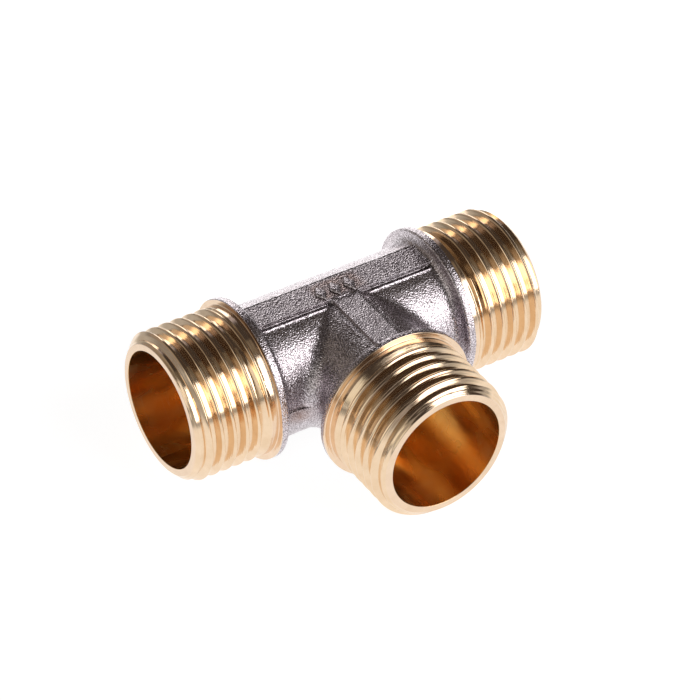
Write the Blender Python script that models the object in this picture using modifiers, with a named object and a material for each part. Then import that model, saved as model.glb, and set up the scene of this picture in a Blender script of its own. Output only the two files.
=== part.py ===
"""Equal tee pipe fitting with three male G 1/2 ends, one hot-forged brass body.

The run lies along X, the branch points towards -Y and +Z is up. The tee rests on its three
collars at z = 0, with the middle of its bounding box over the origin.
"""

import math

import bmesh
import bpy
from mathutils import Matrix, Vector

MM = 0.001

# ISO 228 G 1/2 parallel pipe thread
THREAD_R = 20.955 / 2 * MM
PITCH = 25.4 / 14 * MM
THREAD_DEPTH = 0.640327 * PITCH
FLANK_ANGLE = math.radians(27.5)

# lengths from the point where the run and branch axes cross
RUN_REACH = 27.2 * MM
BRANCH_REACH = 26.8 * MM
COLLAR_FACE = 15.2 * MM
FINISH_LINE = 14.75 * MM
FLARE_START = 12.3 * MM
BAND_END = 16.3 * MM

# radii
BORE_R = 8.225 * MM
TUBE_R = 9.35 * MM
COLLAR_R = 11.3 * MM
BAND_R = THREAD_R + 0.06 * MM
END_FACE_R = 9.2 * MM

# forged details
RIM_ROUND = 0.4 * MM
RIM_BACK = 14.0 * MM
PAD_WIDTH = 4.0 * MM
PAD_HEIGHT = 9.55 * MM
SEAM_REACH = 9.6 * MM
SEAM_THICKNESS = 0.4 * MM
DETAIL_REACH = 13.4 * MM
MARK_CENTRE_X = -0.5 * MM
MARK_SPACING = 2.2 * MM
MARK_LENGTH = 2.4 * MM
MARK_WIDTH = 1.3 * MM
MARK_RISE = 0.2 * MM

# crest position of each thread, in pitches from the axes' crossing
LEFT_PHASE = 0.28
RIGHT_PHASE = 0.42
BRANCH_PHASE = 0.30

GAP = 0.3 * MM
OVERRUN = 2.0 * MM
MERGE = 1e-7
BODY_STEPS = 48
END_STEPS = 32
HALF_STEP = math.radians(180 / END_STEPS)

AXES_CROSSING = Vector((0.0, (BRANCH_REACH - COLLAR_R) / 2, COLLAR_R))
ALONG_RUN = Matrix.Rotation(math.radians(90), 4, "Y")
ALONG_RUN_BACKWARDS = Matrix.Rotation(math.radians(-90), 4, "Y")
ALONG_BRANCH = Matrix.Rotation(math.radians(90), 4, "X")
# the branch's facets are turned by half a step, so that none lies in a facet of the run
ALONG_BRANCH_BETWEEN = ALONG_BRANCH @ Matrix.Rotation(math.radians(180 / BODY_STEPS), 4, "Z")


def clear_scene():
    for obj in list(bpy.data.objects):
        bpy.data.objects.remove(obj, do_unlink=True)


def new_collection(name):
    collection = bpy.data.collections.new(name)
    bpy.context.scene.collection.children.link(collection)
    return collection


def new_material(name, colour, roughness):
    material = bpy.data.materials.new(name)
    material.use_nodes = True
    shader = material.node_tree.nodes["Principled BSDF"]
    shader.inputs["Base Color"].default_value = (*colour, 1.0)
    shader.inputs["Metallic"].default_value = 1.0
    shader.inputs["Roughness"].default_value = roughness
    return material


def place(obj, direction):
    """Stands the local Z axis along the run or the branch, with local zero at the axes' crossing."""
    obj.matrix_world = Matrix.Translation(AXES_CROSSING) @ direction


def new_object(name, mesh, collection, direction=None):
    obj = bpy.data.objects.new(name, mesh)
    collection.objects.link(obj)
    if direction is not None:
        place(obj, direction)
    if collection is CUTTERS:
        obj.hide_render = True
        obj.display_type = "WIRE"
    return obj


def profile_mesh(name, points, closed):
    """A line of (radius, height) points in the local XZ plane."""
    mesh = bpy.data.meshes.new(name)
    edges = [(i, i + 1) for i in range(len(points) - 1)]
    if closed:
        edges.append((len(points) - 1, 0))
    mesh.from_pydata([(r, 0.0, z) for r, z in points], edges, [])
    return mesh


def turned(name, points, steps, collection, direction):
    """A solid of revolution about local Z, from a profile that runs from the top axis point down."""
    obj = new_object(name, profile_mesh(name, points, closed=False), collection, direction)
    screw = obj.modifiers.new("Turn", "SCREW")
    screw.steps = steps
    screw.render_steps = steps
    screw.use_merge_vertices = True
    screw.merge_threshold = MERGE
    return obj


def boolean(obj, other, operation):
    cut = obj.modifiers.new(f"{operation.title()} {other.name}", "BOOLEAN")
    cut.operation = operation
    cut.solver = "EXACT"
    cut.object = other


def flat_tee(name, half_width, thickness):
    """A level T-shaped plate along the run and the branch, centred on their plane."""
    outline = [
        (-DETAIL_REACH, half_width),
        (-DETAIL_REACH, -half_width),
        (-half_width, -half_width),
        (-half_width, -DETAIL_REACH),
        (half_width, -DETAIL_REACH),
        (half_width, -half_width),
        (DETAIL_REACH, -half_width),
        (DETAIL_REACH, half_width),
    ]
    shape = bmesh.new()
    corners = [shape.verts.new((x, y, -thickness / 2)) for x, y in outline]
    lower = shape.faces.new(corners)
    raised = bmesh.ops.extrude_face_region(shape, geom=[lower])["geom"]
    top = [item for item in raised if isinstance(item, bmesh.types.BMVert)]
    bmesh.ops.translate(shape, verts=top, vec=(0, 0, thickness))
    bmesh.ops.recalc_face_normals(shape, faces=shape.faces)
    mesh = bpy.data.meshes.new(name)
    shape.to_mesh(mesh)
    shape.free()
    obj = new_object(name, mesh, CUTTERS)
    obj.location = AXES_CROSSING
    return obj


def finish(obj, material):
    obj.data.materials.append(material)
    obj.data.shade_smooth()
    obj.data.set_sharp_from_angle(angle=math.radians(30))


def flare_profile(end):
    """(radius, height) from a collar's rim at height end, down its rounded back and hollow flare."""
    points = [(COLLAR_R, end)]
    for i in range(3):
        turn = math.radians(45 * i)
        radius = COLLAR_R - RIM_ROUND * (1 - math.cos(turn))
        points.append((radius, RIM_BACK + RIM_ROUND * (1 - math.sin(turn))))
    rise = COLLAR_R - RIM_ROUND - TUBE_R
    for i in range(1, 6):
        turn = math.radians(90 - 18 * i)
        radius = TUBE_R + rise * (1 - math.cos(turn))
        points.append((radius, FLARE_START + (RIM_BACK - FLARE_START) * math.sin(turn)))
    return points


def barrel_profile(both_ends):
    """The plated tube of the run, with a flare at both ends, or of the branch, with one."""
    top = FINISH_LINE - GAP / 2
    flare = flare_profile(top)
    if both_ends:
        lower = [(radius, -height) for radius, height in reversed(flare)]
        return [(0.0, top), *flare, *lower, (0.0, -top)]
    return [(0.0, top), *flare, (TUBE_R, 0.0), (0.0, 0.0)]


def bore(name, low, high, direction):
    profile = [(0.0, high), (BORE_R, high), (BORE_R, low), (0.0, low)]
    return turned(name, profile, END_STEPS, CUTTERS, direction)


def size_mark(index):
    """One raised lozenge of the row on the top pad."""
    mesh = bpy.data.meshes.new("mark")
    shape = bmesh.new()
    bmesh.ops.create_cone(
        shape,
        cap_ends=True,
        segments=4,
        radius1=0.5,
        radius2=0.5,
        depth=1.0,
        matrix=Matrix.Diagonal((MARK_WIDTH, MARK_LENGTH, 4 * MARK_RISE, 1.0)),
    )
    shape.to_mesh(mesh)
    shape.free()
    obj = new_object(f"mark_{index + 1}", mesh, CUTTERS)
    across = MARK_CENTRE_X + (index - 1) * MARK_SPACING
    obj.location = AXES_CROSSING + Vector((across, 0.0, PAD_HEIGHT - MARK_RISE))
    return obj


def forged_body():
    """The plated forging: run and branch tubes, flat pads, parting seam, flares and mark."""
    body = turned("forged_body", barrel_profile(True), BODY_STEPS, PARTS, ALONG_RUN)
    branch_profile = barrel_profile(False)
    branch = turned("branch_tube", branch_profile, BODY_STEPS, CUTTERS, ALONG_BRANCH_BETWEEN)
    boolean(body, branch, "UNION")
    boolean(body, flat_tee("pads", PAD_WIDTH / 2, 2 * PAD_HEIGHT), "UNION")
    boolean(body, flat_tee("parting_seam", SEAM_REACH, SEAM_THICKNESS), "UNION")
    for index in range(3):
        boolean(body, size_mark(index), "UNION")
    past_end = FINISH_LINE + OVERRUN
    boolean(body, bore("run_bore", -past_end, past_end, ALONG_RUN), "DIFFERENCE")
    boolean(body, bore("branch_bore", 0.0, past_end, ALONG_BRANCH_BETWEEN), "DIFFERENCE")
    finish(body, new_material("nickel plated forging", (0.42, 0.40, 0.41), 0.45))


def thread_ridge(name, reach, phase, direction):
    """The helical ridge of a right-hand thread, from inside the collar to past the end face."""
    crest_half = PITCH / 4 - THREAD_DEPTH / 2 * math.tan(FLANK_ANGLE)
    base_r = THREAD_R - THREAD_DEPTH - 0.2 * MM
    base_half = crest_half + (THREAD_R - base_r) * math.tan(FLANK_ANGLE)
    start = (phase + math.floor(COLLAR_FACE / PITCH - phase) - 1) * PITCH
    turns = math.ceil((reach - start) / PITCH) + 1
    start += PITCH * HALF_STEP / math.tau
    section = [
        (THREAD_R, start + crest_half),
        (THREAD_R, start - crest_half),
        (base_r, start - base_half),
        (base_r, start + base_half),
    ]
    rough = new_object(name, profile_mesh(name, section, closed=True), CUTTERS)
    screw = rough.modifiers.new("Helix", "SCREW")
    screw.screw_offset = PITCH
    screw.iterations = turns
    screw.steps = END_STEPS
    screw.render_steps = END_STEPS
    screw.use_merge_vertices = True
    screw.merge_threshold = MERGE
    graph = bpy.context.evaluated_depsgraph_get()
    mesh = bpy.data.meshes.new_from_object(rough.evaluated_get(graph))
    bpy.data.objects.remove(rough, do_unlink=True)
    shape = bmesh.new()
    shape.from_mesh(mesh)
    bmesh.ops.remove_doubles(shape, verts=shape.verts, dist=MERGE)
    open_edges = [edge for edge in shape.edges if edge.is_boundary]
    bmesh.ops.holes_fill(shape, edges=open_edges)
    bmesh.ops.recalc_face_normals(shape, faces=shape.faces)
    shape.to_mesh(mesh)
    shape.free()
    # turned by half a step, so that no flank facet lies in a facet of the core
    return new_object(name, mesh, CUTTERS, direction @ Matrix.Rotation(HALF_STEP, 4, "Z"))


def threaded_end(side, reach, phase, direction):
    """Collar face, run-out band, male thread and end chamfer, bored through."""
    root_r = THREAD_R - THREAD_DEPTH
    low = FINISH_LINE + GAP / 2
    high = reach + OVERRUN
    blank_profile = [
        (0.0, high),
        (root_r, high),
        (root_r, BAND_END + BAND_R - root_r),
        (BAND_R, BAND_END),
        (BAND_R, COLLAR_FACE),
        (COLLAR_R, COLLAR_FACE),
        (COLLAR_R, low - OVERRUN),
        (0.0, low - OVERRUN),
    ]
    wide = COLLAR_R + OVERRUN
    envelope_profile = [
        (0.0, reach),
        (END_FACE_R, reach),
        (wide, reach - (wide - END_FACE_R)),
        (wide, low),
        (0.0, low),
    ]
    end = turned(f"{side}_threaded_end", blank_profile, END_STEPS, PARTS, direction)
    boolean(end, thread_ridge(f"{side}_ridge", reach, phase, direction), "UNION")
    envelope = turned(f"{side}_envelope", envelope_profile, END_STEPS, CUTTERS, direction)
    boolean(end, envelope, "INTERSECT")
    through = bore(f"{side}_end_bore", low - OVERRUN, high + OVERRUN, direction)
    boolean(end, through, "DIFFERENCE")
    finish(end, new_material(f"{side} end brass", (0.86, 0.62, 0.30), 0.18))


clear_scene()
PARTS = new_collection("tee_fitting")
CUTTERS = new_collection("cutters")
forged_body()
threaded_end("left", RUN_REACH, LEFT_PHASE, ALONG_RUN_BACKWARDS)
threaded_end("right", RUN_REACH, RIGHT_PHASE, ALONG_RUN)
threaded_end("branch", BRANCH_REACH, BRANCH_PHASE, ALONG_BRANCH)
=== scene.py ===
"""Looks of the tee fitting: a matte nickel plated forging with three bright turned brass ends.

The run lies along X, the branch points towards -Y and +Z is up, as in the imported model.
"""

import math

import bmesh
import bpy
import numpy as np
from mathutils import Matrix, Vector, noise


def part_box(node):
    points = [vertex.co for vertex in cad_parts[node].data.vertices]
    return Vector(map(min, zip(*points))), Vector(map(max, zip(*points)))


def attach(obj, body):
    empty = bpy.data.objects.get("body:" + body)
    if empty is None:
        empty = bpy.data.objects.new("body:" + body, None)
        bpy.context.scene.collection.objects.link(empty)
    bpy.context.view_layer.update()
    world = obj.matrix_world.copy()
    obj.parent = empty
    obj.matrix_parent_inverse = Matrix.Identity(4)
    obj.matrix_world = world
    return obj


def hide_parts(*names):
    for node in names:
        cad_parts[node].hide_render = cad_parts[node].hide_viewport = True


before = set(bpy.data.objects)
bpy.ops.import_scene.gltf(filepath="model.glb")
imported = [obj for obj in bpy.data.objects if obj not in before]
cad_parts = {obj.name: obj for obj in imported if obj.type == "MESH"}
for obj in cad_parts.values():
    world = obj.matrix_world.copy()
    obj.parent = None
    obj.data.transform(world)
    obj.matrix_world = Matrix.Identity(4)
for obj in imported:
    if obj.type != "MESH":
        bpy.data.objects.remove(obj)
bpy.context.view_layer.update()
MM = 0.001

# driving sizes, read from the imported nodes
LEFT_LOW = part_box("left_threaded_end")[0]
RIGHT_LOW, RIGHT_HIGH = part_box("right_threaded_end")
BRANCH_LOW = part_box("branch_threaded_end")[0]
BODY_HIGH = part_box("forged_body")[1]
CROSSING = Vector((0.0, (RIGHT_LOW.y + RIGHT_HIGH.y) / 2, (RIGHT_LOW.z + RIGHT_HIGH.z) / 2))
LEFT_REACH = -LEFT_LOW.x
RIGHT_REACH = RIGHT_HIGH.x
BRANCH_REACH = CROSSING.y - BRANCH_LOW.y
COLLAR_R = (RIGHT_HIGH.z - RIGHT_LOW.z) / 2
FINISH_LINE = (BODY_HIGH.x + RIGHT_LOW.x) / 2
RIM_R = COLLAR_R - 0.03 * MM

# ISO 228 G 1/2 thread; its depth here ends at a flat land above the full root
THREAD_R = 20.955 / 2 * MM
PITCH = 25.4 / 14 * MM
THREAD_DEPTH = 0.640327 * PITCH
THREAD_ROUND = 0.137329 * PITCH
FLANK_ANGLE = math.radians(27.5)
RUN_LAND_DEPTH = 0.95 * MM
BRANCH_LAND_DEPTH = 0.80 * MM

# where a crest stands along each end's axis, in pitches
LEFT_PHASE = 0.235
RIGHT_PHASE = 0.42
BRANCH_PHASE = 0.30

# plated strip on each collar's side: four fifths of its greatest width, and the angle of that width
LEFT_PLATED = (0.62 * MM, -25)
RIGHT_PLATED = (0.72 * MM, 185)
BRANCH_PLATED = (0.25 * MM, 90)

# turned ends
BORE_R = 8.225 * MM
END_FACE_R = 9.2 * MM
BAND_R = 10.42 * MM
BAND_END = 16.3 * MM
COLLAR_FACE = 15.2 * MM
EDGE_BREAK = 0.12 * MM
RUN_OUT_SLOPE = 0.75
TOOL_RIDGE = 0.035 * MM
TOOL_STEP = 0.40 * MM
TOOL_RIDGES = 2

# columns of points round an end, and rows of points in one pitch as pitch_stations() sets them
COLUMNS = 300
PITCH_ROWS = 24

# forged body
TUBE_R = 9.35 * MM
PAD_HALF = 2.0 * MM
PAD_HEIGHT = 9.55 * MM
BRANCH_PAD_DROP = 0.12 * MM
PAD_EDGE = 0.05 * MM
PAD_WALL_TILT = 8
GROOVE_SIDE = PAD_HALF + 0.26 * MM
GROOVE_UP = 8.93 * MM
GROOVE_R = 0.18 * MM
BEAD_SIDE = PAD_HALF + 0.72 * MM
BEAD_UP = 9.10 * MM
BEAD_R = 0.11 * MM
BEAD_FOOT = PAD_HALF + 0.98 * MM
RIDGE_SIDE = PAD_HALF - 0.16 * MM
RIDGE_HALF = 0.06 * MM
RIDGE_RISE = 0.11 * MM
WAVE_RISE = 0.028 * MM
FLARE_START = 12.2 * MM
FLARE_R = 10.9 * MM
RIM_BACK = 14.0 * MM
FILLET_R = 2.3 * MM
SEAM_HALF = 0.2 * MM
SEAM_REACH = 9.58 * MM
SEAM_SHOWS_FROM = 10.2 * MM

ALONG_RIGHT = Matrix.Rotation(math.radians(90), 4, "Y")
ALONG_LEFT = Matrix.Rotation(math.radians(-90), 4, "Y")
ALONG_BRANCH = Matrix.Rotation(math.radians(90), 4, "X")


# ---------------------------------------------------------------- mesh helpers


def new_object(name, mesh, materials):
    """An object in the scene with its mesh's material slots filled."""
    obj = bpy.data.objects.new(name, mesh)
    bpy.context.scene.collection.objects.link(obj)
    for material in materials:
        mesh.materials.append(material)
    return obj


def grid_faces(rows, columns, first):
    """Quads of a grid of points stored row by row from index first on."""
    index = first + np.arange(rows * columns).reshape(rows, columns)
    corners = (index[:-1, :-1], index[:-1, 1:], index[1:, 1:], index[1:, :-1])
    return np.stack(corners, axis=-1).reshape(-1, 4)


def mesh_from(name, points, faces, merge, sharp_degrees):
    """A mesh with coinciding points merged, its normals set outwards and its creases sharp."""
    mesh = bpy.data.meshes.new(name)
    mesh.from_pydata(points.tolist(), [], faces.tolist())
    shape = bmesh.new()
    shape.from_mesh(mesh)
    bmesh.ops.remove_doubles(shape, verts=shape.verts, dist=merge)
    bmesh.ops.dissolve_degenerate(shape, edges=shape.edges, dist=merge / 4)
    bmesh.ops.recalc_face_normals(shape, faces=shape.faces)
    shape.to_mesh(mesh)
    shape.free()
    mesh.shade_smooth()
    mesh.set_sharp_from_angle(angle=math.radians(sharp_degrees))
    return mesh


def arc(centre, radius, start, stop, steps):
    """Points on an arc in the plane, with its angles in degrees."""
    turns = np.radians(np.linspace(start, stop, steps + 1))
    return np.column_stack((centre[0] + radius * np.cos(turns), centre[1] + radius * np.sin(turns)))


def smooth_max(a, b, blend):
    """The larger of two values, with a rounded change from one to the other."""
    mix = np.clip(0.5 + 0.5 * (a - b) / blend, 0.0, 1.0)
    return b + (a - b) * mix + blend * mix * (1.0 - mix)


# ---------------------------------------------------------------- threaded ends


def thread_radius(across, land_r):
    """Radius of the flat-bottomed thread at a distance along the axis from a crest's middle."""
    s = np.abs((across + PITCH / 2) % PITCH - PITCH / 2)
    arc_half = THREAD_ROUND * math.cos(FLANK_ANGLE)
    arc_drop = THREAD_ROUND * (1 - math.sin(FLANK_ANGLE))
    crest = THREAD_R - THREAD_ROUND + np.sqrt(np.maximum(THREAD_ROUND**2 - s**2, 0.0))
    flank = THREAD_R - arc_drop - (s - arc_half) / math.tan(FLANK_ANGLE)
    t = PITCH / 2 - s
    root_r = THREAD_R - THREAD_DEPTH
    root = root_r + THREAD_ROUND - np.sqrt(np.maximum(THREAD_ROUND**2 - t**2, 0.0))
    sharp = np.where(s < arc_half, crest, np.where(t < arc_half, root, flank))
    return np.maximum(sharp, land_r)


def pitch_stations(land_r):
    """Distances along one pitch, from a crest's middle, with rows right on the profile's corners."""
    arc_half = THREAD_ROUND * math.cos(FLANK_ANGLE)
    arc_drop = THREAD_ROUND * (1 - math.sin(FLANK_ANGLE))
    land_edge = arc_half + (THREAD_R - arc_drop - land_r) * math.tan(FLANK_ANGLE)
    crest = np.linspace(0, arc_half, 4)
    flank = np.linspace(arc_half, land_edge, 7)[1:]
    land = np.linspace(land_edge, PITCH / 2, 4)[1:]
    half = np.concatenate((crest, flank, land))
    return np.concatenate((half, PITCH - half[-2:0:-1]))


def thread_grid(reach, phase, land_r):
    """Radius and height of the thread's rows, which follow the helix, for each column.

    The groove fades into the band at its back and is cut off by the chamfer at its front.
    """
    start = BAND_END
    stop = reach - EDGE_BREAK
    first = math.floor(start / PITCH - phase) - 2
    last = math.ceil(stop / PITCH - phase) + 2
    across = (np.arange(first, last)[:, None] * PITCH + pitch_stations(land_r)).ravel()
    turn = np.arange(COLUMNS) / COLUMNS * PITCH
    z = across[None, :] + turn[:, None] + phase * PITCH
    row = PITCH / PITCH_ROWS
    z = np.where(np.abs(z - start) < row / 3, start, np.clip(z, start, stop))
    z = np.where(np.abs(z - stop) < row / 3, stop, z)

    def limits(height):
        groove = thread_radius(height - turn[:, None] - phase * PITCH, land_r)
        run_out = BAND_R - (height - start) * RUN_OUT_SLOPE
        depth = reach - height
        tool_turns = np.clip(depth / TOOL_STEP, 0.0, TOOL_RIDGES) * math.tau
        chamfer = END_FACE_R + depth - TOOL_RIDGE * (1 - np.cos(tool_turns))
        return groove, run_out, chamfer

    groove, run_out, chamfer = limits(z)
    for edge in (groove - run_out, groove - chamfer):
        z = snap_to_crossing(z, edge)
    groove, run_out, chamfer = limits(z)
    radius = np.minimum(np.maximum(groove, run_out), chamfer)
    return radius, z


def snap_to_crossing(z, difference):
    """Moves the row nearest to each change of sign onto it, so that the crease is crisp."""
    below, above = difference[:, :-1], difference[:, 1:]
    change = (below * above < 0) & (z[:, 1:] > z[:, :-1])
    share = np.where(change, below / np.where(change, below - above, 1.0), 0.0)
    target = z[:, :-1] + share * (z[:, 1:] - z[:, :-1])
    moved = z.copy()
    near_low = change & (share < 0.5)
    near_high = change & (share >= 0.5)
    inner = np.zeros_like(change)
    inner[:, 1:-1] = True
    moved[:, :-1] = np.where(near_low & inner, target, moved[:, :-1])
    moved[:, 1:] = np.where(near_high & inner, target, moved[:, 1:])
    return moved


def inner_profile(reach):
    """(radius, height) from the end of the thread over the end face and down the bore to the back."""
    tip = arc((END_FACE_R - EDGE_BREAK / 2, reach - EDGE_BREAK / 2), EDGE_BREAK / 2, 45, 90, 2)
    lip = arc((BORE_R + EDGE_BREAK / 2, reach - EDGE_BREAK / 2), EDGE_BREAK / 2, 90, 180, 3)
    face = np.column_stack((np.linspace(tip[-1][0], lip[0][0], 5)[1:-1], np.full(3, reach)))
    depths = np.linspace(reach - EDGE_BREAK, FINISH_LINE, 13)
    bore = np.column_stack((np.full(13, BORE_R), depths))
    back = np.column_stack((np.linspace(BORE_R, RIM_R, 5)[1:], np.full(4, FINISH_LINE)))
    return np.vstack((tip, face, lip, bore, back))


def collar_profile():
    """(radius, height) from the back of the collar over its rim and face to the band."""
    heights = np.linspace(FINISH_LINE + 0.03 * MM, COLLAR_FACE - EDGE_BREAK, 12)
    side = np.column_stack((np.full(12, RIM_R), heights))
    corner = arc((RIM_R - EDGE_BREAK, COLLAR_FACE - EDGE_BREAK), EDGE_BREAK, 0, 90, 4)[1:]
    root = arc((BAND_R + EDGE_BREAK, COLLAR_FACE + EDGE_BREAK), EDGE_BREAK, 270, 180, 4)
    face = np.column_stack((np.linspace(corner[-1][0], root[0][0], 6)[1:-1], np.full(4, COLLAR_FACE)))
    band = np.column_stack((np.full(3, BAND_R), np.linspace(root[-1][1], BAND_END, 5)[1:-1]))
    return np.vstack((side, corner, face, root, band))


def threaded_end(side, reach, phase, land_depth, direction, plated, materials):
    """One turned end as a closed shell of revolution with a helical thread cut into it."""
    thread_r, thread_z = thread_grid(reach, phase, THREAD_R - land_depth)
    collar, inner = collar_profile(), inner_profile(reach)
    turns = np.arange(COLUMNS) / COLUMNS * math.tau

    def ring_points(profile):
        radius = np.repeat(profile[None, :, 0], COLUMNS, axis=0)
        height = np.repeat(profile[None, :, 1], COLUMNS, axis=0)
        return radius, height

    def placed(radius, height):
        x = radius * np.cos(turns)[:, None]
        y = radius * np.sin(turns)[:, None]
        return np.stack((x, y, height), axis=-1)

    collar_grid = placed(*ring_points(collar))
    thread = placed(thread_r, thread_z)
    inner_grid = placed(*ring_points(inner))
    # one column more closes the shell; the thread's last column meets the first a pitch further on
    collar_grid = np.concatenate((collar_grid, collar_grid[:1]))
    inner_grid = np.concatenate((inner_grid, inner_grid[:1]))
    shifted = np.concatenate((thread[0, PITCH_ROWS:], np.repeat(thread[:1, -1], PITCH_ROWS, axis=0)))
    thread = np.concatenate((thread, shifted[None]))
    whole = np.concatenate((collar_grid, thread, inner_grid, collar_grid[:, :1]), axis=1)
    columns, count = whole.shape[:2]
    faces = grid_faces(columns, count, 0)
    mesh = mesh_from(f"{side}_threaded_end_looks", whole.reshape(-1, 3), faces, 0.4e-6, 32)
    finish_areas(mesh, reach, *plated)
    obj = new_object(f"{side}_turned_end", mesh, materials)
    obj.matrix_world = Matrix.Translation(CROSSING) @ direction
    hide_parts(f"{side}_threaded_end")
    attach(obj, "root")


def finish_areas(mesh, reach, plated_width, plated_angle):
    """Material 0 is the thread, 1 the turned faces, 2 the bore and 3 the plated strip of the side."""
    for face in mesh.polygons:
        centre = face.center
        radius = math.hypot(centre.x, centre.y)
        if radius < BORE_R + EDGE_BREAK / 3:
            face.material_index = 2
        elif centre.z < BAND_END or centre.z > reach - EDGE_BREAK:
            face.material_index = 1
        if radius > RIM_R - EDGE_BREAK and centre.z < COLLAR_FACE:
            turn = math.atan2(centre.y, centre.x) - math.radians(plated_angle)
            width = plated_width * min(max(0.35 + 0.9 * math.cos(turn), 0.12), 1.3)
            width += 0.05 * MM * noise.noise(centre / (0.8 * MM))
            if centre.z < FINISH_LINE + width:
                face.material_index = 3


# ---------------------------------------------------------------- forged body


def section():
    """(sideways, up) points of the tube's quarter section, from the pad's middle to the seam's edge."""
    flat = np.linspace(0, PAD_HALF - 0.30 * MM, 7)
    flat = np.append(flat, [PAD_HALF - 0.22 * MM, RIDGE_SIDE, PAD_HALF - PAD_EDGE])
    top = np.column_stack((flat, np.full(len(flat), PAD_HEIGHT)))
    shoulder = arc((PAD_HALF - PAD_EDGE, PAD_HEIGHT - PAD_EDGE), PAD_EDGE, 90, PAD_WALL_TILT, 4)[1:]
    groove = arc((GROOVE_SIDE, GROOVE_UP + GROOVE_R), GROOVE_R, 180 + PAD_WALL_TILT, 300, 6)
    bead = arc((BEAD_SIDE, BEAD_UP - BEAD_R), BEAD_R, 135, 20, 7)
    meet = math.asin(BEAD_FOOT / TUBE_R)
    seam_low = math.acos((SEAM_HALF + 0.12 * MM) / TUBE_R)
    turns = np.linspace(meet, seam_low, 56)
    tube = TUBE_R * np.column_stack((np.sin(turns), np.cos(turns)))
    seam = np.array(
        [
            (TUBE_R + 0.02 * MM, SEAM_HALF + 0.03 * MM),
            (TUBE_R + 0.07 * MM, SEAM_HALF - 0.01 * MM),
            (SEAM_REACH - 0.07 * MM, SEAM_HALF - 0.04 * MM),
            (SEAM_REACH - 0.02 * MM, SEAM_HALF - 0.09 * MM),
            (SEAM_REACH, SEAM_HALF - 0.16 * MM),
            (SEAM_REACH, 0.0),
        ]
    )
    return np.vstack((top, shoulder, groove, bead, tube, seam))


def flare_radius(reach):
    """Radius of the collar's hollow back at a distance from the crossing."""
    reach = np.asarray(reach, float)
    along = np.clip((reach - FLARE_START) / (RIM_BACK - FLARE_START), 0.0, 1.0)
    hollow = TUBE_R - 0.25 * MM + (FLARE_R - TUBE_R + 0.25 * MM) * (1 - np.sqrt(1 - along**2))
    rim = RIM_R - FLARE_R
    rounding = np.clip((reach - RIM_BACK) / rim, 0.0, 1.0)
    return np.where(reach > RIM_BACK, FLARE_R + rim * np.sqrt(1 - (1 - rounding) ** 2), hollow)


def flare_stations():
    """Distances from the crossing where the flare has a ring of points."""
    hollow = FLARE_START + (RIM_BACK - FLARE_START) * np.sin(np.radians(np.linspace(0, 90, 13)))
    rim = RIM_R - FLARE_R
    rounded = RIM_BACK + rim * (1 - np.cos(np.radians(np.linspace(0, 90, 7)[1:])))
    return np.concatenate((hollow, rounded, [FINISH_LINE]))


def turned_out(side, up, reach):
    """Pushes a section point out from the axis where the flare is larger than the section."""
    own = np.hypot(side, up)
    pushed = smooth_max(own, np.broadcast_to(flare_radius(reach), own.shape), 0.35 * MM)
    pushed = np.where(reach >= FLARE_START, pushed, own)
    # the smooth change must not lift the tube at the first station nor the rim past its radius
    fade = np.clip((reach - FLARE_START) / (0.6 * MM), 0.0, 1.0)
    pushed = np.minimum(own + (pushed - own) * fade, np.maximum(own, RIM_R))
    return side * pushed / own, up * pushed / own


def strand(side, up, sharp):
    """Points of one L-shaped line along the run's left half and round into the branch.

    A sharp line belongs to the bore: it turns the corner without a fillet and has no flare.
    """
    if side <= TUBE_R or sharp:
        return route(side, up, sharp)
    # in front, the parting seam stands proud near the run's collars only
    proud = np.array(route(side, up, False))
    flush = np.array(route(TUBE_R, up, False))
    share = np.clip((-proud[:, :1] - SEAM_SHOWS_FROM) / (1.2 * MM), 0.0, 1.0)
    return flush + (proud - flush) * share


def route(side, up, sharp):
    """Points of the line at a given distance from the tube's middle."""
    fillet = 0.0 if sharp else FILLET_R * side / TUBE_R
    bend = side + fillet
    flare = np.array([FINISH_LINE, FLARE_START]) if sharp else flare_stations()[::-1]
    straight = np.linspace(FLARE_START, bend, 3 if sharp else 29)
    run_x = -np.concatenate((flare, straight[1:]))
    points = []
    for x in run_x:
        s, u = (side, up) if sharp else turned_out(side, up, -x)
        points.append((x, -s, u))
    if not sharp:
        for turn in np.radians(np.linspace(90, 0, 9)[1:-1]):
            corner = -bend + fillet * math.cos(turn), -bend + fillet * math.sin(turn)
            points.append((*corner, up - branch_drop(side, up, -corner[1])))
    for y in branch_stations(bend, sharp):
        s, u = (side, up) if sharp else turned_out(side, up, y)
        if not sharp:
            u -= branch_drop(side, up, y)
        points.append((-s, -y, u))
    return points


def branch_stations(bend, sharp):
    """Distances from the crossing of the strand's points along the branch."""
    if sharp:
        return [*np.linspace(bend, FLARE_START, 3)[1:], FINISH_LINE]
    room = FLARE_START - bend
    step_start = max(PAD_HALF, bend + 0.03 * room)
    before = np.linspace(bend, step_start, 4)
    step = np.linspace(step_start, step_start + min(0.2 * MM, 0.2 * room), 5)[1:]
    after = np.linspace(step[-1], FLARE_START, 14)[1:-1]
    return np.concatenate((before, step, after, flare_stations()))


def branch_drop(side, up, reach):
    """The branch's pad lies a little below the run's, with the groove and bead beside it worn."""
    past = np.clip((reach - PAD_HALF) / (0.2 * MM), 0.0, 1.0)
    past = past * past * (3 - 2 * past)
    if side < PAD_HALF + 0.05 * MM:
        return BRANCH_PAD_DROP * past * np.clip((up - (PAD_HEIGHT - 0.3 * MM)) / (0.1 * MM), 0.0, 1.0)
    if side < BEAD_FOOT:
        return 0.8 * past * (up - math.sqrt(TUBE_R**2 - side**2))
    return 0.0


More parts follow.
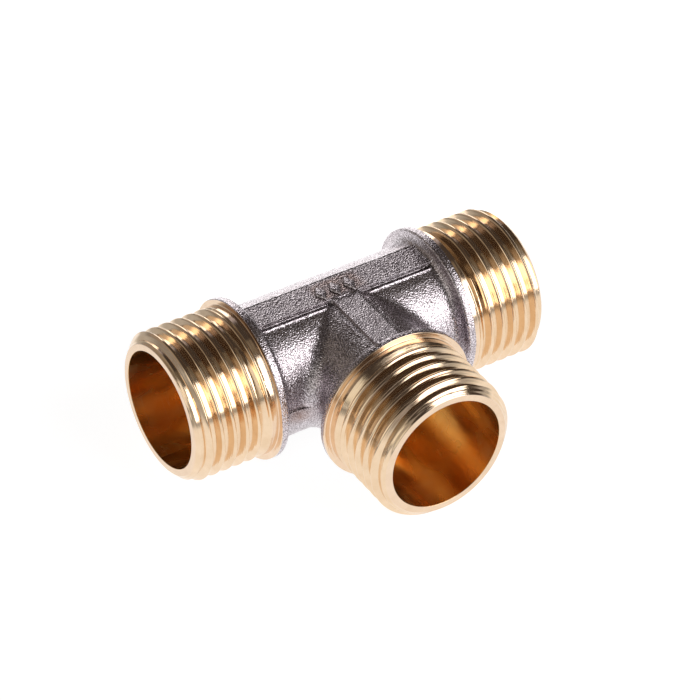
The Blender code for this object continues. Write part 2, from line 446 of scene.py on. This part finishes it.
def back_line(side, up, sharp):
    """Points of one straight line along the back of the run's left half."""
    flare = np.array([FINISH_LINE, FLARE_START]) if sharp else flare_stations()[::-1]
    straight = np.linspace(FLARE_START, 0.0, 3 if sharp else 29)
    points = []
    for x in -np.concatenate((flare, straight[1:])):
        s, u = (side, up) if sharp else turned_out(side, up, -x)
        points.append((x, s, u))
    return points


def quarter_grids(outline, sharp):
    """The grids of the upper left half: the front's bent strands and the back's straight lines."""
    front = np.array([strand(s, u, sharp) for s, u in outline])
    back = np.array([back_line(s, u, sharp) for s, u in outline])
    return [front, back]


def body_mesh():
    """The whole forging: outer skin, bored inside and the three end rings."""
    outer = section()
    angles = np.arctan2(outer[:, 0], outer[:, 1])
    inner = BORE_R * np.column_stack((np.sin(angles), np.cos(angles)))
    inner[-1] = (BORE_R, 0.0)
    skins = quarter_grids(outer, False)
    bores = quarter_grids(inner, True)
    rings = [
        np.stack((skins[0][:, 0], bores[0][:, 0])),
        np.stack((skins[0][:, -1], bores[0][:, -1])),
        np.stack((skins[1][:, 0], bores[1][:, 0])),
    ]
    points, faces, count = [], [], 0
    for grid in (*skins, *bores, *rings):
        for flip_x in (1, -1):
            for flip_z in (1, -1):
                flipped = grid * np.array((flip_x, 1, flip_z))
                points.append(flipped.reshape(-1, 3))
                faces.append(grid_faces(grid.shape[0], grid.shape[1], count))
                count += len(points[-1])
    return mesh_from("forged_body_looks", np.vstack(points), np.vstack(faces), 1.0e-6, 40)


def bead_wear(p):
    """Extra waves of the bead beside a pad, which also lower it a little."""
    beside_pad = PAD_HALF + 0.3 * MM < min(abs(p.x), abs(p.y)) < BEAD_FOOT
    if beside_pad and abs(p.z) > GROOVE_UP:
        return 3.6 * noise.noise(p / (0.7 * MM)) - 1.0
    return 0.0


def edge_ridge(p):
    """Height of the thin ridge along the right edge of the branch's upper pad."""
    on_branch = p.x > 0 and p.y < -PAD_HALF - 0.4 * MM
    if on_branch and p.z > PAD_HEIGHT - BRANCH_PAD_DROP - 0.08 * MM:
        return RIDGE_RISE * max(0.0, 1 - abs(p.x - RIDGE_SIDE) / RIDGE_HALF)
    return 0.0


def forging_waviness(mesh):
    """Low waves of a hot-forged and blasted skin, fading out at the collars; the bores have none."""
    moved = []
    for vertex in mesh.vertices:
        p = vertex.co
        reach = max(abs(p.x), -p.y)
        radius = math.hypot(p.y, p.z) if abs(p.x) > -p.y else math.hypot(p.x, p.z)
        fade = min(max((RIM_BACK - reach) / (1.2 * MM), 0.0), 1.0)
        if radius < BORE_R + 0.3 * MM or fade == 0.0:
            moved.append(p.copy())
            continue
        wave = noise.noise(p / (2.6 * MM)) + 0.4 * noise.noise(p / (0.9 * MM)) + bead_wear(p)
        ridge = Vector((0, 0, edge_ridge(p) * fade))
        moved.append(p + ridge + vertex.normal * (wave * WAVE_RISE * fade))
    mesh.vertices.foreach_set("co", np.array(moved).ravel())
    mesh.update()


def plated_body(materials):
    """The forging, nickel plated outside and bored through to bare brass."""
    mesh = body_mesh()
    forging_waviness(mesh)
    for face in mesh.polygons:
        c = face.center
        from_run = math.hypot(c.y, c.z)
        from_branch = math.hypot(c.x, c.z) if c.y < 0 else from_run
        if min(from_run, from_branch) < BORE_R + 0.02 * MM:
            face.material_index = 1
    obj = new_object("plated_body", mesh, materials)
    obj.matrix_world = Matrix.Translation(CROSSING)
    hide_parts("forged_body")
    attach(obj, "root")


def size_mark(index, material):
    """One raised lozenge of the row on the run's pad, with bevelled edges and a slightly domed top."""
    length, width, rise, sunk = 2.7 * MM, 1.6 * MM, 0.26 * MM, 0.1 * MM
    shape = bmesh.new()
    bmesh.ops.create_cone(
        shape,
        cap_ends=True,
        segments=4,
        radius1=0.56,
        radius2=0.46,
        depth=1.0,
        matrix=Matrix.Diagonal((width, length, rise + sunk, 1.0)),
    )
    edges = [e for e in shape.edges if max(v.co.z for v in e.verts) > 0]
    bmesh.ops.bevel(
        shape, geom=edges, offset=0.07 * MM, segments=3, profile=0.5, affect="EDGES", clamp_overlap=True
    )
    bmesh.ops.recalc_face_normals(shape, faces=shape.faces)
    mesh = bpy.data.meshes.new(f"size_mark_{index + 1}")
    shape.to_mesh(mesh)
    shape.free()
    mesh.shade_smooth()
    mesh.set_sharp_from_angle(angle=math.radians(50))
    obj = new_object(f"size_mark_{index + 1}", mesh, [material])
    across = (-0.5 + (index - 1) * 2.2) * MM
    obj.location = CROSSING + Vector((across, -0.35 * MM, PAD_HEIGHT + (rise - sunk) / 2))
    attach(obj, "root")


# ---------------------------------------------------------------- materials


class Tree:
    """Short calls for building a node tree."""

    def __init__(self, tree):
        self.tree = tree

    def node(self, kind, **values):
        made = self.tree.nodes.new(kind)
        for key, value in values.items():
            setattr(made, key, value)
        return made

    def link(self, source, target):
        self.tree.links.new(source, target)

    def fill(self, sockets, values):
        """Gives each input its value: another node's output, a number or an opaque colour."""
        for socket, value in zip(sockets, values):
            if isinstance(value, bpy.types.NodeSocket):
                self.link(value, socket)
            elif isinstance(value, tuple):
                socket.default_value = (*value, 1.0)
            else:
                socket.default_value = value

    def math(self, operation, *values):
        made = self.node("ShaderNodeMath", operation=operation)
        self.fill(made.inputs, values)
        return made.outputs[0]

    def split(self, vector):
        made = self.node("ShaderNodeSeparateXYZ")
        self.link(vector, made.inputs[0])
        return made.outputs

    def combine(self, *values):
        made = self.node("ShaderNodeCombineXYZ")
        self.fill(made.inputs, values)
        return made.outputs[0]

    def spread(self, factor, low, high, to_low, to_high, curve="LINEAR"):
        """Carries the stretch from low to high over to another, and stops at its ends."""
        made = self.node("ShaderNodeMapRange", interpolation_type=curve)
        names = ("Value", "From Min", "From Max", "To Min", "To Max")
        self.fill([made.inputs[name] for name in names], (factor, low, high, to_low, to_high))
        return made.outputs["Result"]

    def mix(self, factor, first, second, blend="MIX"):
        """Mixes two colours; a colour mix has its factor at input 0 and its colours at 6 and 7."""
        made = self.node("ShaderNodeMix", data_type="RGBA", blend_type=blend)
        self.fill([made.inputs[key] for key in (0, 6, 7)], (factor, first, second))
        return made.outputs[2]


class Surface(Tree):
    """A material whose shader's own values are near the mean of its patterns."""

    def __init__(self, name, colour, roughness, metallic=1.0):
        self.material = bpy.data.materials.new(name)
        self.material.use_nodes = True
        super().__init__(self.material.node_tree)
        self.inputs = self.tree.nodes["Principled BSDF"].inputs
        self.inputs["Base Color"].default_value = (*colour, 1.0)
        self.inputs["Metallic"].default_value = metallic
        self.inputs["Roughness"].default_value = roughness

    def local(self):
        return self.node("ShaderNodeTexCoord").outputs["Object"]

    def noise(self, vector, scale, detail=2.0, rough=0.5):
        made = self.node("ShaderNodeTexNoise")
        names = ("Vector", "Scale", "Detail", "Roughness")
        self.fill([made.inputs[name] for name in names], (vector, scale, detail, rough))
        return made.outputs["Fac"]

    def ramp(self, factor, stops):
        made = self.node("ShaderNodeValToRGB")
        for element, (position, colour) in zip(made.color_ramp.elements, stops):
            element.position = position
            element.color = (*colour, 1.0)
        self.link(factor, made.inputs["Fac"])
        return made.outputs["Color"]

    def bump(self, height, depth, previous=None):
        made = self.node("ShaderNodeBump")
        self.fill([made.inputs["Distance"], made.inputs["Height"]], (depth, height))
        made.inputs["Strength"].default_value = 1.0
        if previous is not None:
            self.link(previous, made.inputs["Normal"])
        return made.outputs["Normal"]

    def corners(self, reach):
        """0 in narrow corners and grooves, 1 on open skin."""
        made = self.node("ShaderNodeAmbientOcclusion", samples=6)
        made.inputs["Distance"].default_value = reach
        return made.outputs["AO"]

    def finish(self, colour, roughness, normal):
        self.link(colour, self.inputs["Base Color"])
        self.link(roughness, self.inputs["Roughness"])
        self.link(normal, self.inputs["Normal"])
        return self.material


def nickel(name, dull, glossy):
    """Blasted forging under matte nickel: fine grain, sparkle, painted shade in corners and valleys,
    brown tarnish round the marks and a painted reflection below the seam.
    """
    n = Surface(name, (0.66, 0.60, 0.63), 0.22)
    place = n.local()
    grain = n.noise(place, 5200, 0.5, 0.5)
    specks = n.noise(place, 7000, 0.0)
    tone = n.noise(place, 420, 3.0, 0.55)
    colour = n.ramp(tone, [(0.3, (0.76, 0.69, 0.725)), (0.7, (0.88, 0.815, 0.86))])
    dust = n.ramp(specks, [(0.34, (0.20, 0.18, 0.18)), (0.60, (1.0, 1.0, 1.0))])
    colour = n.mix(0.86, colour, dust, "MULTIPLY")
    # brown tarnish round the size marks, and a painted brass reflection below the seam
    colour = n.mix(tarnish_and_painted_reflection(n, place, tone), colour, (0.34, 0.21, 0.165))
    # painted shade: the colour goes nearly black where ambient occlusion finds narrow corners and
    # grooves
    painted_corner_shade = n.ramp(n.corners(1.1 * MM), [(0.54, (0.05, 0.04, 0.04)), (0.92, (1.0, 1.0, 1.0))])
    colour = n.mix(1.0, colour, painted_corner_shade, "MULTIPLY")
    # painted shade: a milder darkening wherever other surfaces lie within 3.5 mm, as in the valleys
    painted_valley_shade = n.ramp(n.corners(3.5 * MM), [(0.45, (0.42, 0.37, 0.36)), (0.85, (1.0, 1.0, 1.0))])
    colour = n.mix(1.0, colour, painted_valley_shade, "MULTIPLY")
    rough = n.spread(grain, 0.35, 0.65, dull, glossy)
    normal = n.bump(grain, 0.075 * MM)
    return n.finish(colour, rough, normal)


def tarnish_and_painted_reflection(n, place, tone):
    """Share of brown: tarnish round the size marks, and a painted reflection of the brass collars below
    the seam beside the run's collars.
    """
    x, y, z = n.split(place)
    far_x = n.math("ABSOLUTE", x)
    top = n.spread(z, PAD_HEIGHT - 0.25 * MM, PAD_HEIGHT - 0.1 * MM, 0.0, 1.0)
    along = n.spread(far_x, 2.8 * MM, 4.2 * MM, 1.0, 0.0)
    across = n.spread(n.math("ABSOLUTE", y), 1.3 * MM, 2.1 * MM, 1.0, 0.0)
    marks = n.math("MULTIPLY", n.math("MULTIPLY", top, along), across)
    # painted reflection: the brass collars mirrored in the skin below the seam, low on the front beside
    # each collar
    low = n.spread(n.math("ABSOLUTE", n.math("ADD", z, 1.0 * MM)), 0.6 * MM, 2.2 * MM, 1.0, 0.0)
    from_collar = n.math("ABSOLUTE", n.math("SUBTRACT", far_x, 11.6 * MM))
    beside = n.spread(from_collar, 0.5 * MM, 2.2 * MM, 1.0, 0.0)
    front = n.spread(y, -7.5 * MM, -9.0 * MM, 0.0, 1.0)
    seam = n.math("MULTIPLY", n.math("MULTIPLY", low, beside), front)
    patchy = n.spread(tone, 0.35, 0.60, 0.35, 1.0)
    return n.math("MULTIPLY", n.math("MULTIPLY", n.math("MAXIMUM", marks, seam), patchy), 0.75)


def from_axis(n, x, y):
    """Distance from the object's own Z axis."""
    return n.math("SQRT", n.math("ADD", n.math("MULTIPLY", x, x), n.math("MULTIPLY", y, y)))


def turned_brass():
    """Bright lathe-cut faces, with concentric tool marks and a little tarnish."""
    n = Surface("turned brass", (0.84, 0.63, 0.44), 0.12)
    place = n.local()
    x, y, z = n.split(place)
    radius = from_axis(n, x, y)
    rings = n.combine(n.math("MULTIPLY", radius, 9000), n.math("MULTIPLY", z, 9000), 0.0)
    marks = n.noise(rings, 1.0, 2.0, 0.6)
    coarse = n.combine(n.math("MULTIPLY", radius, 4200), n.math("MULTIPLY", z, 4200), 3.0)
    wide = n.noise(coarse, 1.0, 1.0)
    tone = n.noise(place, 500, 3.0)
    colour = n.ramp(tone, [(0.3, (0.80, 0.595, 0.42)), (0.7, (0.87, 0.675, 0.50))])
    rough = n.spread(wide, 0.3, 0.7, 0.08, 0.18)
    normal = n.bump(marks, 0.006 * MM)
    normal = n.bump(wide, 0.012 * MM, normal)
    return n.finish(colour, rough, normal)


def thread_brass():
    """Chased thread, with fine tool marks that follow the helix."""
    n = Surface("threaded brass", (0.84, 0.63, 0.44), 0.08)
    place = n.local()
    x, y, z = n.split(place)
    turn = n.math("ARCTAN2", y, x)
    angle = n.math("SUBTRACT", n.math("MULTIPLY", z, math.tau / PITCH), turn)
    across = n.combine(
        n.math("MULTIPLY", n.math("COSINE", angle), 3.0),
        n.math("MULTIPLY", n.math("SINE", angle), 3.0),
        n.math("MULTIPLY", z, 500),
    )
    marks = n.noise(across, 1.0, 2.0, 0.6)
    tone = n.noise(place, 500, 3.0)
    colour = n.ramp(tone, [(0.3, (0.80, 0.59, 0.39)), (0.7, (0.87, 0.67, 0.47))])
    rough = n.spread(marks, 0.3, 0.7, 0.07, 0.13)
    normal = n.bump(marks, 0.018 * MM)
    return n.finish(colour, rough, normal)


def bore_brass(name, run_along_x):
    """Drilled bore: deeper orange, soft rings, streaks along the bore and a few light scratches."""
    n = Surface(name, (0.92, 0.60, 0.28), 0.26)
    place = n.local()
    x, y, z = n.split(place)
    along, side = (x, z) if run_along_x else (z, x)
    rings = n.noise(n.combine(n.math("MULTIPLY", along, 3500), 0.0, 0.0), 1.0, 1.0, 0.5)
    turn = n.math("ARCTAN2", y, side)
    drift = n.math("MULTIPLY", along, 150)
    streaks = n.noise(n.combine(n.math("MULTIPLY", turn, 3.0), drift, 7.0), 1.0, 1.0, 0.5)
    tilt = n.math("MULTIPLY", n.math("SINE", turn), 0.25)
    tilted = n.math("ADD", n.math("MULTIPLY", along, 900), tilt)
    scratch = n.noise(n.combine(tilted, n.math("MULTIPLY", turn, 0.5), 2.0), 1.0, 0.0)
    scratch = n.spread(n.math("ABSOLUTE", n.math("SUBTRACT", scratch, 0.5)), 0.0, 0.012, 1.0, 0.0)
    tone = n.noise(place, 300, 1.0)
    colour = n.ramp(tone, [(0.3, (0.92, 0.55, 0.22)), (0.7, (0.97, 0.69, 0.34))])
    streak_tint = n.ramp(streaks, [(0.35, (0.84, 0.79, 0.70)), (0.65, (1.0, 1.0, 1.0))])
    colour = n.mix(0.8, colour, streak_tint, "MULTIPLY")
    colour = n.mix(n.math("MULTIPLY", scratch, 0.35), colour, (0.98, 0.80, 0.55))
    rough = n.spread(streaks, 0.3, 0.7, 0.18, 0.34)
    normal = n.bump(rings, 0.0014 * MM)
    return n.finish(colour, rough, normal)


# ---------------------------------------------------------------- studio


def direction(azimuth, elevation):
    """Azimuth 0 points towards -Y and 90 towards +X."""
    a, e = math.radians(azimuth), math.radians(elevation)
    return Vector((math.sin(a) * math.cos(e), -math.cos(a) * math.cos(e), math.sin(e)))


def floor_glow(n):
    """Strength of the table's own light: most behind the fitting to its right, least far away."""
    x, y = n.split(n.local())[:2]
    distance = from_axis(n, x, y)
    near = n.spread(distance, 0.105, 0.22, 0.93, 0.52)
    far = n.spread(distance, 0.22, 0.6, 1.0, 0.5)
    behind = n.spread(y, 0.005, 0.028, 0.0, 1.0)
    close = n.spread(distance, 0.10, 0.14, 1.0, 0.0)
    right = n.spread(x, -0.02, 0.005, 0.0, 1.0)
    extra = n.math("MULTIPLY", n.math("MULTIPLY", n.math("MULTIPLY", behind, close), right), 0.65)
    back_left = n.math("SUBTRACT", n.math("MULTIPLY", y, 0.47), n.math("MULTIPLY", x, 0.88))
    dimmed = n.spread(back_left, 0.048, 0.064, 1.0, 0.42)
    return n.math("MULTIPLY", n.math("ADD", n.math("MULTIPLY", near, far), extra), dimmed)


def floor():
    """A plain pale table, lit from within."""
    shape = bmesh.new()
    bmesh.ops.create_grid(shape, x_segments=8, y_segments=8, size=6.0)
    mesh = bpy.data.meshes.new("floor")
    shape.to_mesh(mesh)
    shape.free()
    n = Surface("white table", (0.25, 0.25, 0.25), 0.9, metallic=0.0)
    n.inputs["Specular IOR Level"].default_value = 0.0
    n.inputs["Emission Color"].default_value = (1.0, 1.0, 1.0, 1.0)
    n.link(floor_glow(n), n.inputs["Emission Strength"])
    obj = new_object("floor", mesh, [n.material])
    obj.location = (8 * MM, 17 * MM, 0.0)


class Sky(Tree):
    """A dark room with soft white panels, painted over each other on the world by direction."""

    def __init__(self, room):
        self.world = bpy.data.worlds.new("studio")
        self.world.use_nodes = True
        super().__init__(self.world.node_tree)
        x, y, z = self.split(self.node("ShaderNodeTexCoord").outputs["Generated"])
        self.azimuth = self.math("ARCTAN2", x, self.math("MULTIPLY", y, -1.0))
        self.elevation = self.math("ARCSINE", z)
        self.colour = self.combine(*room)

    def edge(self, distance, half, soft):
        """1 inside a half size, 0 outside it, with a soft change between."""
        return self.spread(
            distance, math.radians(half - soft), math.radians(half + soft), 1.0, 0.0, "SMOOTHSTEP"
        )

    def panel(self, azimuth, elevation, half_width, half_height, soft, light, slope=0.0):
        """A panel centred on a direction, with its half sizes and its edge's softness in degrees."""
        offset = self.math("SUBTRACT", self.azimuth, math.radians(azimuth))
        offset = self.math("WRAP", offset, math.pi, -math.pi)
        above = self.math("SUBTRACT", self.elevation, math.radians(elevation))
        above = self.math("SUBTRACT", above, self.math("MULTIPLY", offset, slope))
        sides = self.edge(self.math("ABSOLUTE", offset), half_width, soft)
        ends = self.edge(self.math("ABSOLUTE", above), half_height, soft)
        self.colour = self.mix(self.math("MULTIPLY", sides, ends), self.colour, light)

    def finish(self):
        self.link(self.colour, self.tree.nodes["Background"].inputs["Color"])
        bpy.context.scene.world = self.world


def studio():
    """White table, key panels at the front right, a back panel, fills at the left and dark gaps."""
    floor()
    sky = Sky((0.06, 0.05, 0.045))
    # the table's far parts and the edge of the room above them
    sky.panel(0, -40, 190, 43, 3, (0.95, 0.95, 0.95))
    sky.panel(20, 0, 75, 6, 3, (0.50, 0.50, 0.52))
    # weak light bounced back from the walls
    sky.panel(-150, 12, 40, 16, 6, (0.34, 0.30, 0.27))
    sky.panel(-118, 30, 22, 14, 7, (0.28, 0.24, 0.19))
    sky.panel(-34, 14, 14, 16, 6, (0.58, 0.56, 0.50))
    sky.panel(-12, 8, 14, 14, 6, (0.36, 0.34, 0.34))
    # fills at the left
    sky.panel(-80, 19, 22, 13, 5, (1.12, 1.08, 1.0), 0.3)
    sky.panel(-52, 20, 9, 20, 4, (0.92, 0.92, 0.86))
    # glow round the key panels and on the ceiling
    sky.panel(66, 42, 18, 12, 5, (0.46, 0.46, 0.46))
    sky.panel(70, 64, 28, 6, 5, (0.20, 0.17, 0.13))
    sky.panel(-36, 68, 18, 8, 6, (0.32, 0.31, 0.29))
    # key panels at the front right
    sky.panel(48, 30, 11, 12, 2, (3.3, 3.3, 3.3), 0.3)
    sky.panel(27, 31, 17, 26, 2, (3.3, 3.25, 3.25))
    sky.panel(6, 54, 10, 6, 3, (0.95, 0.95, 1.0))
    # back panel, the glow above it and a dimmer panel over its lower left part
    sky.panel(161, 15, 16, 17, 3, (2.3, 2.25, 2.2), 0.35)
    sky.panel(152, 37, 8, 6, 6, (0.50, 0.47, 0.53))
    sky.panel(174, 8, 14, 12, 6, (0.75, 0.74, 0.74))
    sky.finish()


def camera():
    """Long lens, from the front left and above, rolled slightly."""
    azimuth, elevation, roll = -33.193, 39.329, 1.229
    distance = 467.07 * MM
    back = direction(azimuth, elevation)
    level = Vector((math.cos(math.radians(azimuth)), math.sin(math.radians(azimuth)), 0.0))
    upright = back.cross(level)
    r = math.radians(roll)
    right = level * math.cos(r) + upright * math.sin(r)
    up = upright * math.cos(r) - level * math.sin(r)
    data = bpy.data.cameras.new("camera")
    data.sensor_width = 36.0
    data.lens = 179.44
    data.clip_start = 0.01
    data.clip_end = 20.0
    obj = bpy.data.objects.new("camera", data)
    bpy.context.scene.collection.objects.link(obj)
    place = CROSSING + back * distance + right * (1.9325 * MM) - up * (1.0782 * MM)
    turn = Matrix((right, up, back)).transposed().to_4x4()
    obj.matrix_world = Matrix.Translation(place) @ turn
    bpy.context.scene.camera = obj


camera()
studio()
bpy.context.scene.view_settings.view_transform = "Standard"

NICKEL = nickel("matte nickel", 0.34, 0.16)
PLATED_SIDE = nickel("plated collar side", 0.20, 0.10)
THREAD = thread_brass()
TURNED = turned_brass()
BORE = bore_brass("bored brass", False)
BODY_BORE = bore_brass("bored brass of the run", True)

plated_body([NICKEL, BODY_BORE])
for number in range(3):
    size_mark(number, NICKEL)
FINISHES = [THREAD, TURNED, BORE, PLATED_SIDE]
threaded_end("left", LEFT_REACH, LEFT_PHASE, RUN_LAND_DEPTH, ALONG_LEFT, LEFT_PLATED, FINISHES)
threaded_end("right", RIGHT_REACH, RIGHT_PHASE, RUN_LAND_DEPTH, ALONG_RIGHT, RIGHT_PLATED, FINISHES)
threaded_end(
    "branch", BRANCH_REACH, BRANCH_PHASE, BRANCH_LAND_DEPTH, ALONG_BRANCH, BRANCH_PLATED, FINISHES
)

bpy.context.view_layer.update()
